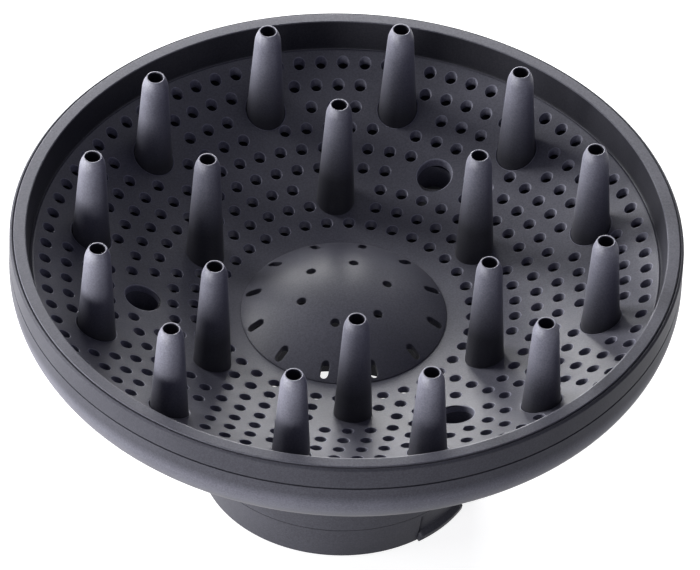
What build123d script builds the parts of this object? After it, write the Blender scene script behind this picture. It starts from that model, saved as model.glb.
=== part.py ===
from build123d import *
import math
import os

# Diffuser for a hair dryer, standing on the mouth of its collar with its fingers up.
# Millimetres, Z up, origin at the centre of the mouth, one inner finger towards +Y.

# Dish: a perforated plate, part of a sphere, with an upright wall and a lip
lip_height = 72.0
lip_width = 2.6
lip_bevel = 0.7
lip_edge = 0.3
lip_drop = 6.8
lip_lean = 1.1
dish_radius = 143.0
plate_wall = 2.0
dish_sectors = 48

# Rim ring round the dish
rim_radius = 77.5
rim_wall = 0.8
rim_step = 0.5
rim_height = 5.4
rim_bevel = 0.6
shelf_depth = 2.0
shelf_wall = 1.1

# Rear shell: straight wall, round shoulder, sloping underside and tapered neck
seam_gap = 0.4
shell_wall = 2.2
tongue_wall = 1.0
wall_height = 3.1
shoulder_radius = 12.5
underside_slope = 35
flare_radius = 8.0
neck_taper = 10

# Collar that slips over the dryer's nozzle
bore_radius = 30.2
mouth_wall = 2.0
mouth_bevel = 0.4
collar_height = 10.0
sleeve_wall = 1.6
sleeve_height = 8.0

# Snap latches let into the collar
latch_angles = (-45, 135)
latch_width = 14.0
latch_wall = 1.3
latch_recess = 0.6
latch_roof = 0.9
latch_lip = 0.8
latch_lip_height = 1.4
latch_gap = 0.5
latch_foot = 0.4

# Perforations: ring n lies n pitches out and has six times n holes
hole_radius = 1.38
hole_sides = 6
ring_pitch = 4.95
ring_turn = -0.5
hole_web = 0.3

# Fingers: hollow cones, each with a keyed spigot through the plate
outer_inset = 12.7
outer_rise = 11.2
outer_count = 12
inner_ring = 36.3
inner_rise = 7.5
inner_count = 6
finger_base = 4.6
finger_end = 3.0
finger_tip = 2.35
finger_shoulder = 1.9
finger_bore = 1.9
finger_sides = 12
spigot_radius = 3.4
spigot_sides = 8
spigot_reach = 0.8

# Screw wells in the dish, bosses in the shell and the screws between them
well_ring = 46.7
well_count = 3
well_radius = 4.0
well_wall = 1.2
well_depth = 7.5
well_floor = 1.6
boss_radius = 3.2
screw_head = 2.8
screw_head_height = 1.8
screw_radius = 1.4
screw_length = 8.0
pilot_spare = 0.5

# Dome in the middle of the dish
dome_radius = 23.85
dome_sphere = 40.7
dome_wall = 1.6
land_width = 1.1
skirt_wall = 1.4
skirt_reach = 0.6
slot_count = 12
slot_inner = 19.0
slot_outer = 22.9
slot_width = 1.9
vent_count = 6
vent_ring = 10.4
vent_radius = 1.1

# Clearances
fit_gap = 0.1
seat_gap = 0.1

# Angles of the patterns, from +X
sector = 360 / inner_count
inner_start = 90
outer_start = inner_start - sector / 4
well_start = inner_start - sector / 2

# Heights and radii that follow from the sizes above
lip_outer = rim_radius - rim_wall - fit_gap
lip_inner = lip_outer - lip_width
crease_radius = lip_inner - lip_lean
crease_height = lip_height - lip_drop
dish_centre = crease_height + math.sqrt(dish_radius**2 - crease_radius**2)
plate_radius = crease_radius + plate_wall
rim_top = lip_height - rim_step
shelf_top = rim_top - shelf_depth
shelf_bottom = shelf_top - shelf_wall
skirt_bottom = rim_top - rim_height
seam_height = skirt_bottom - seam_gap
tongue_radius = rim_radius - shell_wall + tongue_wall
shoulder_height = seam_height - wall_height
mouth_radius = bore_radius + mouth_wall
sleeve_radius = bore_radius + sleeve_wall
sleeve_top = collar_height + sleeve_height
latch_top = collar_height - latch_roof - latch_gap
land_radius = dome_radius + land_width / 4
hub_radius = dome_radius - land_width
outer_ring = crease_radius - outer_inset
first_ring = math.ceil(land_radius / ring_pitch + 0.5)
last_ring = math.floor(crease_radius / ring_pitch - 0.5)
slope = math.radians(underside_slope)
taper = math.radians(neck_taper)


def dish_height(radius, depth=0.0):
    """Height of the dish at a radius, or of the surface that lies depth below it."""
    return dish_centre - math.sqrt((dish_radius + depth) ** 2 - radius**2)


def neck_radius(height):
    """Outer radius of the tapered neck and collar at a height."""
    return mouth_radius + height * math.tan(taper)


def shell_corners(inset, foot, top):
    """Sharp corners of the shell's outline, moved inwards by inset, from foot to top."""
    wall = rim_radius - inset
    corner = shoulder_height - shoulder_radius * math.tan((math.pi / 2 - slope) / 2)
    base = corner - (rim_radius - mouth_radius) * math.tan(slope) + inset / math.cos(slope)
    neck_inset = inset / math.cos(taper)
    bend = (base - neck_inset * math.tan(slope)) / (1 - math.tan(taper) * math.tan(slope))
    under = base + (wall - mouth_radius) * math.tan(slope)
    return [
        (neck_radius(foot) - neck_inset, foot),
        (neck_radius(bend) - neck_inset, bend),
        (wall, under),
        (wall, top),
    ]


def upright(angle):
    """Plane through the axis of the part, turned by an angle from the XZ plane."""
    turn = math.radians(angle)
    out = (math.cos(turn), math.sin(turn), 0)
    return Plane(origin=(0, 0, 0), x_dir=out, z_dir=(out[1], -out[0], 0))


def polar(radius, count, start):
    """Points spaced evenly on a circle."""
    turns = [math.radians(start + 360 * i / count) for i in range(count)]
    return [(radius * math.cos(t), radius * math.sin(t)) for t in turns]


land_height = dish_height(land_radius)
well_top = dish_height(well_ring) - well_depth
boss_top = well_top - well_floor
outer_spots = polar(outer_ring, outer_count, outer_start)
inner_spots = polar(inner_ring, inner_count, inner_start)
well_spots = polar(well_ring, well_count, well_start)

os.makedirs("parts", exist_ok=True)

# Perforations that keep clear of the fingers and of the screw wells
finger_keep = finger_base + hole_radius + hole_web
well_keep = well_radius + well_wall + hole_radius + hole_web
hole_spots = []
for ring in range(first_ring, last_ring + 1):
    for spot in polar(ring * ring_pitch, 6 * ring, outer_start + ring_turn):
        clear_of_fingers = min(math.dist(spot, f) for f in outer_spots + inner_spots) > finger_keep
        clear_of_wells = min(math.dist(spot, w) for w in well_spots) > well_keep
        if clear_of_fingers and clear_of_wells:
            hole_spots.append(spot)

# One flat sector of the plate's underside and one of the bowl above it.
# Flat facets, a band to each ring, keep the many holes to few faces.
band_edges = [(ring - 0.5) * ring_pitch for ring in range(first_ring, last_ring + 2)]
under_line = [(r, dish_height(r, plate_wall)) for r in [hub_radius, *band_edges, rim_radius]]
dish_line = [(r, dish_height(r)) for r in [land_radius, *band_edges, rim_radius]]
sector_start = hub_radius / 2
sector_half = 180 / dish_sectors
sector_sides = (upright(sector_half), upright(180 - sector_half))

with BuildPart() as plate_sector:
    with BuildSketch(Plane.XZ):
        with BuildLine():
            Polyline(
                (sector_start, under_line[0][1]),
                *under_line,
                (rim_radius, lip_height),
                (sector_start, lip_height),
                close=True,
            )
        make_face()
    extrude(amount=rim_radius, both=True)
    for side in sector_sides:
        split(bisect_by=side, keep=Keep.TOP)

with BuildPart() as bowl_sector:
    with BuildSketch(Plane.XZ):
        with BuildLine():
            Polyline(
                (sector_start, land_height),
                *dish_line,
                (rim_radius, lip_height + lip_bevel),
                (sector_start, lip_height + lip_bevel),
                close=True,
            )
        make_face()
    extrude(amount=rim_radius, both=True)
    for side in sector_sides:
        split(bisect_by=side, keep=Keep.TOP)

# Bowl: the open space over the dish, with the round wall and the lip's inner bevel
with BuildPart() as bowl:
    with PolarLocations(0, dish_sectors):
        add(bowl_sector.part)
    with BuildSketch(Plane.XY.offset(land_height)):
        Circle(land_radius)
    extrude(amount=lip_height + lip_bevel - land_height)
    with BuildSketch(Plane.XZ):
        with BuildLine():
            Polyline(
                (0, land_height),
                (crease_radius, land_height),
                (crease_radius, crease_height),
                (lip_inner, lip_height - lip_bevel),
                (lip_inner + lip_bevel, lip_height),
                (lip_inner + lip_bevel, lip_height + lip_bevel),
                (0, lip_height + lip_bevel),
                close=True,
            )
        make_face()
    revolve(axis=Axis.Z, mode=Mode.INTERSECT)

# Front plate: round outside, screw wells, then the bowl and the holes are cut
with BuildPart() as front_plate:
    with PolarLocations(0, dish_sectors):
        add(plate_sector.part)
    with BuildSketch(Plane.XZ):
        with BuildLine():
            Polyline(
                (hub_radius, 0),
                (plate_radius, 0),
                (plate_radius, shelf_top),
                (lip_outer, shelf_top),
                (lip_outer, lip_height - lip_edge),
                (lip_outer - lip_edge, lip_height),
                (hub_radius, lip_height),
                close=True,
            )
        make_face()
    revolve(axis=Axis.Z, mode=Mode.INTERSECT)
    with BuildSketch(Plane.XY.offset(boss_top)):
        with Locations(*well_spots):
            Circle(well_radius + well_wall)
    extrude(amount=lip_height - boss_top)
    add(bowl.part, mode=Mode.SUBTRACT)
    with BuildSketch(Plane.XY.offset(well_top)):
        with Locations(*well_spots):
            Circle(well_radius)
    extrude(amount=lip_height - well_top, mode=Mode.SUBTRACT)
    with BuildSketch(Plane.XY.offset(boss_top)):
        with Locations(*well_spots):
            Circle(screw_radius + 2 * fit_gap)
    extrude(amount=lip_height - boss_top, mode=Mode.SUBTRACT)
    with BuildSketch():
        with Locations(*outer_spots, *inner_spots):
            RegularPolygon(spigot_radius + fit_gap, spigot_sides)
        with Locations(*hole_spots):
            RegularPolygon(hole_radius, hole_sides)
    extrude(amount=lip_height, mode=Mode.SUBTRACT)
front_plate.part.label = "front_plate"
export_step(front_plate.part, "parts/front_plate.step")

# Rim ring: sits on the shell's tongue and carries the lip of the plate
with BuildPart() as front_rim:
    with BuildSketch(Plane.XZ):
        with BuildLine():
            Polyline(
                (tongue_radius + fit_gap, skirt_bottom),
                (rim_radius, skirt_bottom),
                (rim_radius, rim_top - rim_bevel),
                (rim_radius - rim_bevel, rim_top),
                (rim_radius - rim_wall, rim_top),
                (rim_radius - rim_wall, shelf_top),
                (plate_radius + fit_gap, shelf_top),
                (plate_radius + fit_gap, shelf_bottom),
                (tongue_radius + fit_gap, shelf_bottom),
                close=True,
            )
        make_face()
    revolve(axis=Axis.Z)
front_rim.part.label = "front_rim"
export_step(front_rim.part, "parts/front_rim.step")

# Hollow of the rear shell, with the screw bosses left standing in it
with BuildPart() as hollow:
    with BuildSketch(Plane.XZ):
        with BuildLine():
            Polyline(
                *shell_corners(shell_wall, collar_height, lip_height),
                (0, lip_height),
                (0, collar_height),
                close=True,
            )
        make_face()
    revolve(axis=Axis.Z)
    with BuildSketch(Plane.XY.offset(collar_height)):
        Circle(sleeve_radius + fit_gap)
    extrude(amount=sleeve_height)
    with BuildSketch(Plane.XY.offset(boss_top)):
        with Locations(*well_spots):
            Circle(boss_radius)
    extrude(amount=-boss_top, mode=Mode.SUBTRACT)

# Rear shell: bowl and neck, with a tongue inside the rim
with BuildPart() as rear_shell:
    with BuildSketch(Plane.XZ):
        with BuildLine():
            outline = FilletPolyline(
                *shell_corners(0, collar_height, seam_height),
                radius=[flare_radius, shoulder_radius],
            )
            Polyline(
                outline @ 1,
                (tongue_radius, seam_height),
                (tongue_radius, shelf_bottom),
                (0, shelf_bottom),
                (0, collar_height),
                outline @ 0,
            )
        make_face()
    revolve(axis=Axis.Z)
    add(hollow.part, mode=Mode.SUBTRACT)
    with BuildSketch(Plane.XY.offset(boss_top)):
        with Locations(*well_spots):
            Circle(screw_radius + fit_gap / 2)
    extrude(amount=-(screw_length - well_floor + pilot_spare), mode=Mode.SUBTRACT)
rear_shell.part.label = "rear_shell"
export_step(rear_shell.part, "parts/rear_shell.step")

# Mounting collar: tapered ring, sleeve into the neck and two windows for the latches
latch_arc = math.degrees(latch_width / mouth_radius)
window_arc = latch_arc + 2 * math.degrees(latch_gap / mouth_radius)
with BuildPart() as mounting_collar:
    with BuildSketch(Plane.XZ):
        with BuildLine():
            Polyline(
                (bore_radius, 0),
                (mouth_radius - mouth_bevel, 0),
                (neck_radius(mouth_bevel), mouth_bevel),
                (neck_radius(collar_height), collar_height),
                (sleeve_radius, collar_height),
                (sleeve_radius, sleeve_top),
                (bore_radius, sleeve_top),
                close=True,
            )
        make_face()
    revolve(axis=Axis.Z)
    for angle in latch_angles:
        with BuildSketch(upright(angle - window_arc / 2)):
            with Locations((mouth_radius, 0)):
                Rectangle(mouth_radius, 2 * (latch_top + latch_gap))
        revolve(axis=Axis.Z, revolution_arc=window_arc, mode=Mode.SUBTRACT)
mounting_collar.part.label = "mounting_collar"
export_step(mounting_collar.part, "parts/mounting_collar.step")

# Snap latches: tongues set back from the collar, with a finger lip at the mouth
lip_top = latch_foot + latch_lip_height
lip_slope = lip_top + latch_lip + latch_recess
for number, angle in enumerate(latch_angles, start=1):
    with BuildPart() as latch:
        with BuildSketch(upright(angle - latch_arc / 2)):
            with BuildLine():
                Polyline(
                    (neck_radius(latch_foot) - latch_recess - latch_wall, latch_foot),
                    (neck_radius(latch_foot) + latch_lip, latch_foot),
                    (neck_radius(lip_top) + latch_lip, lip_top),
                    (neck_radius(lip_slope) - latch_recess, lip_slope),
                    (neck_radius(latch_top) - latch_recess, latch_top),
                    (neck_radius(latch_top) - latch_recess - latch_wall, latch_top),
                    close=True,
                )
            make_face()
        revolve(axis=Axis.Z, revolution_arc=latch_arc)
    latch.part.label = f"latch_{number}"
    export_step(latch.part, f"parts/latch_{number}.step")

# Fingers: tapered and hollow, seated on the dish, with a keyed spigot through it
finger_sets = (
    ("outer_finger", outer_ring, lip_height + outer_rise, outer_count, outer_start),
    ("inner_finger", inner_ring, lip_height + inner_rise, inner_count, inner_start),
)
for name, ring_radius, tip, count, start in finger_sets:
    seat = dish_height(ring_radius)
    foot = dish_height(ring_radius - finger_base)
    crown = dish_height(ring_radius + finger_base)
    spigot_foot = dish_height(ring_radius - spigot_radius, plate_wall) - spigot_reach
    shoulder = tip - finger_shoulder
    lean = (finger_base - finger_end) / (shoulder - seat)
    tip_lean = (finger_end - finger_tip) / finger_shoulder
    foot_radius = finger_base + lean * (seat - foot)
    side_taper = math.degrees(math.atan(lean * math.cos(math.pi / finger_sides)))
    tip_taper = math.degrees(math.atan(tip_lean * math.cos(math.pi / finger_sides)))
    for number, (x, y) in enumerate(polar(ring_radius, count, start), start=1):
        seat_normal = Vector(-x, -y, dish_centre - seat).normalized()
        seat_plane = Plane(origin=Vector(x, y, seat) + seat_normal * seat_gap, z_dir=seat_normal)
        with BuildPart() as finger:
            with BuildSketch(Plane((x, y, foot))):
                RegularPolygon(foot_radius, finger_sides)
            extrude(amount=shoulder - foot, taper=side_taper)
            with BuildSketch(Plane((x, y, shoulder))):
                RegularPolygon(finger_end, finger_sides)
            extrude(amount=finger_shoulder, taper=tip_taper)
            split(bisect_by=seat_plane, keep=Keep.TOP)
            with BuildSketch(Plane((x, y, spigot_foot))):
                RegularPolygon(spigot_radius, spigot_sides)
            extrude(amount=crown - spigot_foot)
            with BuildSketch(Plane((x, y, spigot_foot))):
                RegularPolygon(finger_bore, spigot_sides)
            extrude(amount=tip - spigot_foot, mode=Mode.SUBTRACT)
        finger.part.label = f"{name}_{number:02d}"
        export_step(finger.part, f"parts/{finger.part.label}.step")

# Centre dome: rests on the plate's land, with a skirt down through the hub
dome_centre = land_height - math.sqrt(dome_sphere**2 - dome_radius**2)
skirt_radius = hub_radius - fit_gap
skirt_inner = skirt_radius - skirt_wall
skirt_foot = dish_height(hub_radius, plate_wall) - skirt_reach
inner_sphere = dome_sphere - dome_wall
with BuildPart() as centre_dome:
    with BuildSketch(Plane.XZ):
        with BuildLine():
            half = dome_radius / 2
            top = ThreePointArc(
                (0, dome_centre + dome_sphere),
                (half, dome_centre + math.sqrt(dome_sphere**2 - half**2)),
                (dome_radius, land_height),
            )
            half = skirt_inner / 2
            ceiling = ThreePointArc(
                (skirt_inner, dome_centre + math.sqrt(inner_sphere**2 - skirt_inner**2)),
                (half, dome_centre + math.sqrt(inner_sphere**2 - half**2)),
                (0, dome_centre + inner_sphere),
            )
            Polyline(
                top @ 1,
                (skirt_radius, land_height),
                (skirt_radius, skirt_foot),
                (skirt_inner, skirt_foot),
                ceiling @ 0,
            )
            Line(ceiling @ 1, top @ 0)
        make_face()
    revolve(axis=Axis.Z)
    with BuildSketch(Plane.XY.offset(skirt_foot)):
        with PolarLocations((slot_inner + slot_outer) / 2, slot_count, outer_start):
            SlotOverall(slot_outer - slot_inner, slot_width)
        with PolarLocations(vent_ring, vent_count, outer_start):
            Circle(vent_radius)
    extrude(amount=lip_height - skirt_foot, mode=Mode.SUBTRACT)
centre_dome.part.label = "centre_dome"
export_step(centre_dome.part, "parts/centre_dome.step")

# Screws: one node, three solids
with BuildPart() as plate_screws:
    with BuildSketch(Plane.XY.offset(well_top)):
        with Locations(*well_spots):
            Circle(screw_head)
    extrude(amount=screw_head_height)
    with BuildSketch(Plane.XY.offset(well_top)):
        with Locations(*well_spots):
            Circle(screw_radius)
    extrude(amount=-screw_length)
plate_screws.part.label = "plate_screws"
export_step(plate_screws.part, "parts/plate_screws.step")
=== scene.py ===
import math

import bmesh
import bpy
from bpy.props import FloatProperty, FloatVectorProperty, PointerProperty
from bpy.types import Operator, Panel, PropertyGroup
from mathutils import Matrix, Vector
from mathutils.geometry import delaunay_2d_cdt


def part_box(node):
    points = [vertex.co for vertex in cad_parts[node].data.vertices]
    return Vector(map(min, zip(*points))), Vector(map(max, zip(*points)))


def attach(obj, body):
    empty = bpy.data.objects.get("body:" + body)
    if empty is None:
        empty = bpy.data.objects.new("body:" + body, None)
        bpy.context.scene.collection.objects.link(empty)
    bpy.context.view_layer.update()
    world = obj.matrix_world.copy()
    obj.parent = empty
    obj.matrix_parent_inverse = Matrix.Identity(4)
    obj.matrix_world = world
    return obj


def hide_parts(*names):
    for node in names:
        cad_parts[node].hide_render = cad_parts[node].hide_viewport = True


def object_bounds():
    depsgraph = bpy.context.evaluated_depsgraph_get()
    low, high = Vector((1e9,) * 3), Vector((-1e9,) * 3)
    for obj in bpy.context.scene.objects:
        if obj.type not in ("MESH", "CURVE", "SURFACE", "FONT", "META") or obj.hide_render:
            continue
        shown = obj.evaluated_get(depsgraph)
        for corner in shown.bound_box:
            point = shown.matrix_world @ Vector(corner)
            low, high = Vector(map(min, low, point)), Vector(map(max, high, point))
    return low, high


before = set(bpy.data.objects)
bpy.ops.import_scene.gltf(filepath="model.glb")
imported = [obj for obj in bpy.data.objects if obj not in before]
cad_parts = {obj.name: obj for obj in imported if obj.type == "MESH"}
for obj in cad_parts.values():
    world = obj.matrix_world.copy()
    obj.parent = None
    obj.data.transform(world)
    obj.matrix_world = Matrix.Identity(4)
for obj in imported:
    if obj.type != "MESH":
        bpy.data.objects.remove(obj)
cad_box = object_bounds()

bl_info = {
    "name": "Hair Dryer Diffuser",
    "version": (1, 0, 0),
    "blender": (4, 5, 0),
    "location": "View3D > Sidebar > Diffuser",
    "description": "Moulded pieces, plastic finishes and studio for a hair dryer diffuser",
    "category": "Object",
}

MM = 0.001
BODY = "diffuser"
AXIS = Vector((0, 0))
WHITE = (1.0, 1.0, 1.0, 1.0)

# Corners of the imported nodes' boxes, which give heights and radii
rim_low, rim_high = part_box("front_rim")
plate_low, plate_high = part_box("front_plate")
shell_low, shell_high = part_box("rear_shell")
screw_low, screw_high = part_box("plate_screws")
dome_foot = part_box("centre_dome")[0][2]
finger_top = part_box("outer_finger_01")[1][2]

# Number of faces round each turned form
RING_SEGMENTS = 216
DOME_SEGMENTS = 144
LAND_SEGMENTS = 108
FLOOR_SEGMENTS = 96
FINGER_SEGMENTS = 48
SEAT_SEGMENTS = 40
SCREW_SEGMENTS = 36
BOSS_SEGMENTS = 32
VENT_SEGMENTS = 20
HOLE_SEGMENTS = 18

# Number of faces along a swept form, round a slot's end and, at least, in a rounded corner
LATCH_STEPS = 12
PRONG_STEPS = 8
SLOT_STEPS = 8
ROUND_STEPS = 3
ROUND_STEP_LENGTH = 0.9 * MM

# How often a form repeats about the axis, and the angle of its first one.
# The n-th ring of small holes has HOLE_COUNT times n of them.
WELL_COUNT, WELL_START = 3, math.radians(60)
SLOT_COUNT, VENT_COUNT, DOME_START = 12, 6, math.radians(15)
HOLE_COUNT, HOLE_START = 6, math.radians(75)

# Where forms meet: the sliding fit of two pieces, the rim's shelf below the rim's top, the wells'
# tubes under the dish, and the dome's skirt with its gaps in slot widths
FIT = 0.1 * MM
SHELF_DEPTH = 2.0 * MM
WELL_STEP = 0.03 * MM
TUBE_LAP = 0.5 * MM
TUBE_RISE = 2.0 * MM
SKIRT_STEP = 0.2 * MM
PRONG_GAP = 0.7

# Distance of the perforated sheet from the dish's edge, in roundings of that edge
BORDER_OFFSET = 2.2

# Points that fill the sheets between their holes, on rings, and how near two points may come
DISH_FILL_GAP = 0.6 * MM
DOME_FILL_GAP = 0.5 * MM
DOME_FILL_STEP = 1.45 * MM
DOME_FILL_RINGS = 15
DOME_FILL_COUNT = 6
SHEET_TOLERANCE = 1e-9
WELD_DISTANCE = 1e-6

# Material slots of the plate's holes (painted light) and wall (painted shade), and of the fingers'
# bores (painted shade)
HOLE_SLOT, WALL_SLOT, BORE_SLOT = 1, 2, 1

# Tone, gloss and shift of the grain of each plastic; the tones carry painted light and shade
PLASTICS = {
    "Dish plastic": (1.0, 0.2, 0.0),
    # Paler tone on the walls and edges of the dish's holes and seats: painted light
    "Hole plastic with painted light": (2.4, 0.2, 0.0),
    # Darker tone on the dish's groove and wall inside the lip: painted shade
    "Wall plastic with painted shade": (0.36, 0.1, 0.0),
    # Finger tone at the feet, darker than the dish: painted shade
    "Finger plastic with painted light and shade": (0.38, 0.4, 0.3),
    # Darker tone inside the finger bores: painted shade
    "Bore plastic with painted shade": (0.4, 0.1, 0.3),
    "Dome plastic": (1.0, 0.2, 0.6),
    # Rim, housing, collar and latch tones, darker than the dish's: painted shade
    "Rim plastic": (0.61, 0.1, 0.9),
    "Housing plastic": (0.67, 0.1, 1.2),
    "Collar plastic": (0.66, 0.1, 1.5),
    "Latch plastic": (0.66, 0.1, 1.8),
}
PLASTIC_IOR = 1.49
GRAIN_CONTRAST = 2.6
GRAIN_ROUGHNESS = 0.12
FLOW_ROUGHNESS = 0.10
GRAIN_BUMP = 0.3
GRAIN_DEPTH = 0.05 * MM

# Painted light and shade on the fingers: a paler tone towards the tips over the darker feet, and
# how much sooner than evenly it sets in
FINGER_PAINTED_LIGHT_TONE = 2.25
FINGER_PAINTED_LIGHT_BEND = 0.5

# Painted highlight: a paler band on the shell's shoulder. Its tone, its angle below the shoulder's
# start, the peak of its mask and the distance in which the mask falls by 1
SHOULDER_HIGHLIGHT_TONE = 1.25
SHOULDER_HIGHLIGHT_ANGLE = math.radians(16)
SHOULDER_HIGHLIGHT_PEAK = 1.6
SHOULDER_HIGHLIGHT_FADE = 2.6 * MM

# Blackened steel of the screws
SCREW_PALE = 2.2
SCREW_METAL = 0.6
SCREW_ROUGHNESS = 0.34
MARK_ROUGHNESS = 0.2
MARK_SIZE = 1 / 2600

# Bounce of the floor under the object's middle, and how fast it fades to the right, per metre
BOUNCE_MIDDLE = 0.1
BOUNCE_FADE = 4.0
FLOOR_GAP = 0.05 * MM

# Name, azimuth and elevation in degrees, width and height in metres and watts of each lamp
LAMPS = (
    ("Left", (186, 6), (0.40, 0.20), 7.0),
    ("Front", (229, 6), (0.35, 0.18), 4.8),
    ("Back", (94, 17), (0.50, 0.30), 12.5),
    ("High", (150, 25), (0.40, 0.35), 11.0),
)
LAMP_DISTANCE = 0.9
LAMP_AIM = Vector((0, 0, 0.05))
SENSOR_WIDTH = 36.0


def number(label, description, default):
    """A plain number that a user may change."""
    return FloatProperty(name=label, description=description, default=default)


def length(label, description, default):
    """A size in metres that a user may change."""
    return FloatProperty(
        name=label, description=description, default=default, unit="LENGTH", precision=5
    )


def angle(label, description, degrees):
    """An angle that a user may change, given in degrees."""
    return FloatProperty(
        name=label, description=description, default=math.radians(degrees), subtype="ANGLE"
    )


def share(label, description, default):
    """A factor from 0 to 1 that a user may change."""
    return FloatProperty(
        name=label, description=description, default=default, min=0.0, max=1.0, subtype="FACTOR"
    )


def colour(label, description, default):
    """A linear colour that a user may change."""
    return FloatVectorProperty(
        name=label, description=description, default=default, size=3, subtype="COLOR"
    )


class DiffuserDish(PropertyGroup):
    """Sizes of the perforated dish, its lip and its screw wells."""

    sphere: length("Sphere", "Radius of the sphere that the dish is part of", 143 * MM)
    wall: length("Wall", "Thickness of the dish", 2.0 * MM)
    lip_width: length("Lip width", "Width of the lip round the dish", 2.9 * MM)
    lip_lean: length("Lip lean", "How far the wall leans out from the crease to the lip", 0.8 * MM)
    lip_drop: length("Lip drop", "Depth from the lip's top to the crease", 6.8 * MM)
    lip_edge: length("Lip edge", "Rounding of the lip's edges", 0.22 * MM)
    lip_band: length("Lip band", "Width of the level band inside the lip", 0.2 * MM)
    lip_ledge: length("Lip ledge", "Height of the lip's top over that band", 0.12 * MM)
    crease_edge: length("Crease edge", "Rounding of the dish's outer edge", 0.34 * MM)
    groove: length("Groove", "Width and depth of the groove between dish and wall", 0.45 * MM)
    pitch: length("Hole pitch", "Distance between the rings of holes", 4.95 * MM)
    hole: length("Hole radius", "Radius of the small holes", 1.36 * MM)
    edge: length("Hole edge", "Rounding of the holes' edges", 0.16 * MM)
    turn: angle("Pattern turn", "Turn of the hole pattern from the line of a finger", -0.5)
    web: length("Web", "Least material between a hole and a finger", 0.3 * MM)
    well_ring: length("Well ring", "Radius that the screw wells lie on", 46.7 * MM)
    well: length("Well radius", "Radius of a screw well", 4.0 * MM)
    well_edge: length("Well edge", "Rounding of a well's edge", 0.3 * MM)
    well_wall: length("Well wall", "Wall of a screw well", 1.2 * MM)
    well_floor: length("Well floor", "Thickness of a well's floor", 1.6 * MM)


class DiffuserFingers(PropertyGroup):
    """Sizes of the hollow fingers."""

    outer_ring: length("Outer ring", "Radius that the outer fingers stand on", 60.2 * MM)
    inner_ring: length("Inner ring", "Radius that the inner fingers stand on", 36.3 * MM)
    base: length("Base radius", "Radius of a finger where it meets the dish", 4.55 * MM)
    end: length("End radius", "Radius of a finger at its shoulder", 3.0 * MM)
    tip: length("Tip radius", "Radius of a finger at its tip", 2.15 * MM)
    shoulder: length("Shoulder height", "Height of the sloping shoulder below the tip", 1.9 * MM)
    shoulder_round: length("Shoulder rounding", "Rounding of the shoulder's lower edge", 6.0 * MM)
    tip_round: length("Tip rounding", "Rounding of the tip's outer edge", 0.22 * MM)
    bore: length("Bore radius", "Radius of the opening in a finger's tip", 1.82 * MM)
    bore_edge: length("Bore edge", "Rounding of the opening's edge", 0.12 * MM)
    gap: length("Gap", "Gap between a finger and its hole in the dish", 0.03 * MM)
    seat_edge: length("Seat edge", "Rounding of the edge of a finger's hole", 0.32 * MM)


class DiffuserDome(PropertyGroup):
    """Sizes of the dome in the middle of the dish."""

    radius: length("Radius", "Radius of the dome's edge", 23.85 * MM)
    sphere: length("Sphere", "Radius of the sphere that the dome is part of", 40.7 * MM)
    wall: length("Wall", "Thickness of the dome", 1.6 * MM)
    land: length("Land", "Width of the flat land that carries the dome", 1.1 * MM)
    skirt: length("Skirt", "Wall of the prongs below the dome", 1.4 * MM)
    slot_ring: length("Slot ring", "Radius of the slots' middles", 21.35 * MM)
    slot_length: length("Slot length", "Length of a slot", 3.65 * MM)
    slot_width: length("Slot width", "Width of a slot", 1.9 * MM)
    vent_ring: length("Vent ring", "Radius that the small vents lie on", 10.4 * MM)
    vent: length("Vent radius", "Radius of a small vent", 1.1 * MM)
    edge: length("Edge", "Rounding of the slots' and vents' edges", 0.14 * MM)
    lift: length("Edge lift", "Height of the dome's edge over its land", 0.18 * MM)


class DiffuserShell(PropertyGroup):
    """Sizes of the rear shell and the rim ring."""

    wall: length("Wall", "Thickness of the shell", 2.2 * MM)
    tongue: length("Tongue", "Thickness of the tongue inside the rim", 1.0 * MM)
    straight: length("Straight wall", "Height of the upright wall under the seam", 3.1 * MM)
    seam: length("Seam", "Gap between the shell and the rim", 0.4 * MM)
    shoulder: length("Shoulder", "Radius of the round shoulder", 12.5 * MM)
    slope: angle("Slope", "Slope of the underside from level", 35)
    flare: length("Flare", "Radius where the neck meets the underside", 8.0 * MM)
    taper: angle("Neck taper", "Taper of the neck", 10)
    mouth: length("Mouth radius", "Outer radius of the neck at its mouth", 32.2 * MM)
    edge: length("Edge rounding", "Rounding of outer edges", 0.3 * MM)
    rim_wall: length("Rim wall", "Wall of the rim beside the lip", 0.88 * MM)
    rim_slope: length("Rim slope", "Width of the slope at the rim's outer edge", 0.42 * MM)
    rim_drop: length("Rim drop", "Depth of the rim's top below the lip", 0.3 * MM)
    seam_edge: length("Seam edge", "Rounding of the edges beside the seam", 0.08 * MM)
    boss: length("Boss radius", "Radius of the screw bosses", 3.2 * MM)
    pilot: length("Pilot radius", "Radius of the screws' holes in the bosses", 1.45 * MM)


class DiffuserLatch(PropertyGroup):
    """Sizes of the snap latches in the collar."""

    width: length("Width", "Width of a latch round the collar", 14.7 * MM)
    wall: length("Wall", "Thickness of a latch", 1.3 * MM)
    recess: length("Recess", "How far a latch lies behind the neck's line", 0.6 * MM)
    lip: length("Lip", "How far the finger lip stands out", 0.8 * MM)
    lip_height: length("Lip height", "Height of the finger lip", 1.4 * MM)
    edge: length("Edge", "Rounding of a latch's edges", 0.2 * MM)


class DiffuserScrew(PropertyGroup):
    """Sizes of the screws."""

    head: length("Head radius", "Radius of a screw's head", 2.8 * MM)
    head_edge: length("Head edge", "Rounding of the head's top", 0.6 * MM)
    head_foot: length("Head foot", "Rounding of the head's lower edge", 0.15 * MM)
    shank: length("Shank radius", "Radius of the shank", 1.4 * MM)
    point: length("Point", "Rounding of the shank's end", 0.3 * MM)
    socket: length("Socket radius", "Radius of the socket in the head", 1.25 * MM)
    socket_depth: length("Socket depth", "Depth of the socket", 1.1 * MM)
    socket_edge: length("Socket edge", "Rounding of the socket's edge", 0.12 * MM)
    core: length("Core", "Radius of the fine centre mark through a screw", 0.05 * MM)


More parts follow.
